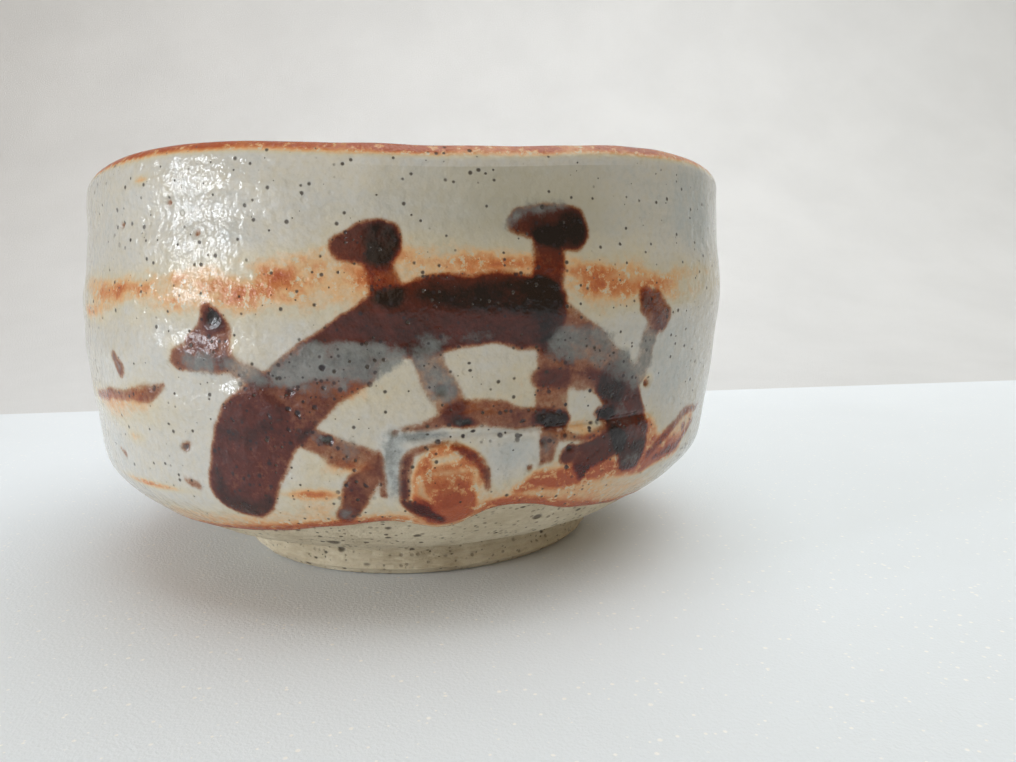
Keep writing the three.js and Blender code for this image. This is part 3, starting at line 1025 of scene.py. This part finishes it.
# Soft lights: name, place, what it is aimed at, size, watts, colour, spread in degrees
LIGHTS = (
    ("window", (-0.72, -0.37, 0.21), (0, 0, 0.03), (0.060, 0.34), 0.21, (0.87, 0.93, 1.0), 70),
    ("window pane", (-0.78, -0.19, 0.21), (0, 0, 0.03), (0.034, 0.34), 0.15, (0.87, 0.93, 1.0), 70),
    ("low fill", (-0.62, -0.30, 0.11), (0, 0, 0.0), (0.9, 0.20), 0.24, (0.87, 0.93, 1.0), 70),
    ("room", (-0.45, -0.75, 0.28), (0, 0, 0.02), (0.8, 0.6), 0.24, (1.0, 0.91, 0.80), 110),
    ("ceiling", (0.38, 0.1, 0.95), (0.2, 0.2, 0), (1.4, 1.1), 8.4, (0.91, 0.98, 0.97), 180),
    ("wall wash", (0.0, 0.05, 0.6), (-0.05, 0.5, 0.1), (0.8, 0.4), 0.80, (1.0, 1.0, 1.0), 120),
)
ROOM_COLOUR = (1.0, 0.77, 0.50)
ROOM_STRENGTH = 0.28


def add_camera():
    """A camera just above the bowl's waist, turned and rolled a little, as held by hand."""
    yaw, pitch, roll = CAMERA_YAW, CAMERA_PITCH, CAMERA_ROLL
    ahead = Vector((
        math.sin(yaw) * math.cos(pitch), math.cos(yaw) * math.cos(pitch), math.sin(pitch),
    ))
    level = Vector((math.cos(yaw), -math.sin(yaw), 0.0))
    upright = level.cross(ahead)
    right = level * math.cos(roll) + upright * math.sin(roll)
    up = upright * math.cos(roll) - level * math.sin(roll)
    bpy.ops.object.camera_add(location=CAMERA_PLACE)
    camera = bpy.context.object
    camera.rotation_euler = Matrix((right, up, -ahead)).transposed().to_euler()
    camera.data.lens = CAMERA_LENS
    camera.data.sensor_width = 36.0
    camera.data.clip_start = 0.01
    bpy.context.scene.camera = camera
    bpy.context.scene.view_settings.view_transform = "Standard"


def add_area_light(name, place, target, size, power, colour, spread):
    bpy.ops.object.light_add(type="AREA", location=place)
    light = bpy.context.object
    light.name = name
    light.data.shape = "RECTANGLE"
    light.data.size, light.data.size_y = size
    light.data.energy = power
    light.data.spread = math.radians(spread)
    light.data.color = colour
    aim = Vector(target) - Vector(place)
    light.rotation_euler = aim.to_track_quat("-Z", "Y").to_euler()


def stage_material(name, colour, grain, mottle, painted_glint):
    """Matt paper or table, faintly clouded, with a fine grain and tiny painted glints: pale dots in its
    colour.
    """
    shader = Shader(name)
    place = shader.object_place()
    cloud = shader.between(shader.noise(place, 70.0, 4.0), -0.7, 0.7)
    tinted = shader.mix(cloud * mottle, colour, [part * 0.9 for part in colour])
    # Painted glints: pale dots in the colour that stand in for the table's sparkle.
    tinted = shader.mix(shader.spots(place, 1.1, 0.42, 3.0) * painted_glint, tinted, (1.0, 1.0, 1.0))
    normal = shader.bump(shader.noise(place, 0.5, 3.0), grain)
    return shader.finish(Base_Color=tinted, Roughness=0.55, Normal=normal)


def add_sweep():
    """A table that ends behind the bowl, where a paper sweep rises to a plain wall."""
    bpy.ops.object.select_all(action="DESELECT")
    front = TABLE_END - STAGE_WIDTH / 2
    bpy.ops.mesh.primitive_plane_add(size=STAGE_WIDTH, location=(0, front, 0))
    floor = bpy.context.object
    floor.name = "floor"
    floor.data.materials.append(stage_material("table_top", (0.84, 0.89, 0.96), 0.05, 0.3, 0.9))
    bpy.ops.object.transform_apply(location=True, rotation=False, scale=False)
    upright = (math.pi / 2, 0, 0)
    bpy.ops.mesh.primitive_plane_add(size=STAGE_WIDTH, location=(0, TABLE_END, 0), rotation=upright)
    sweep = bpy.context.object
    sweep.name = "sweep"
    bpy.ops.object.transform_apply(location=False, rotation=True, scale=False)
    bpy.ops.object.mode_set(mode="EDIT")
    bpy.ops.mesh.select_all(action="SELECT")
    bpy.ops.mesh.subdivide(number_cuts=60)
    bpy.ops.object.mode_set(mode="OBJECT")
    places = vertices(sweep)
    along = places[:, 2] + STAGE_WIDTH / 2
    turn = np.clip(along / SWEEP_BEND, 0, 1)
    bend_radius = SWEEP_BEND * 2 / math.pi
    places[:, 1] = bend_radius * np.sin(turn * math.pi / 2)
    places[:, 2] = bend_radius * (1 - np.cos(turn * math.pi / 2)) + np.maximum(along - SWEEP_BEND, 0)
    set_vertices(sweep, places / MM)
    bpy.ops.object.transform_apply(location=True, rotation=False, scale=False)
    bpy.ops.object.shade_smooth()
    sweep.data.materials.append(stage_material("plain_wall", (0.78, 0.785, 0.81), 0.3, 0.8, 0.0))


class TEABOWL_OT_stage(bpy.types.Operator):
    """Add the camera, the table, the backdrop and the soft lights"""

    bl_idname = "teabowl.stage"
    bl_label = "Stage"

    def execute(self, context):
        add_camera()
        add_sweep()
        for light in LIGHTS:
            add_area_light(*light)
        world = bpy.context.scene.world or bpy.data.worlds.new("World")
        bpy.context.scene.world = world
        world.use_nodes = True
        background = world.node_tree.nodes["Background"]
        background.inputs["Color"].default_value = (*ROOM_COLOUR, 1.0)
        background.inputs["Strength"].default_value = ROOM_STRENGTH
        return {"FINISHED"}


class TEABOWL_PT_panel(bpy.types.Panel):
    """Lists the bowl's pieces in the sidebar"""

    bl_idname = "TEABOWL_PT_panel"
    bl_label = "Tea Bowl"
    bl_space_type = "VIEW_3D"
    bl_region_type = "UI"
    bl_category = "Tea Bowl"

    def draw(self, context):
        for operator in MAKERS:
            self.layout.operator(operator.bl_idname)
        for group in (settings().sizes, settings().colours):
            for name in group.bl_rna.properties.keys():
                if name not in ("rna_type", "name"):
                    self.layout.prop(group, name)


MAKERS = (
    TEABOWL_OT_stage, TEABOWL_OT_outer_glaze, TEABOWL_OT_lip_glaze, TEABOWL_OT_inner_glaze,
    TEABOWL_OT_clay_body, TEABOWL_OT_foot_ring,
)
CLASSES = (TEABOWL_PG_colours, TEABOWL_PG_sizes, TEABOWL_PG_settings, *MAKERS, TEABOWL_PT_panel)


def register():
    for cls in CLASSES:
        bpy.utils.register_class(cls)
    bpy.types.Scene.tea_bowl = PointerProperty(type=TEABOWL_PG_settings)


def unregister():
    del bpy.types.Scene.tea_bowl
    for cls in reversed(CLASSES):
        bpy.utils.unregister_class(cls)


def main():
    register()
    for operator in MAKERS:
        group, name = operator.bl_idname.split(".")
        getattr(getattr(bpy.ops, group), name)()


if __name__ == "__main__":
    main()
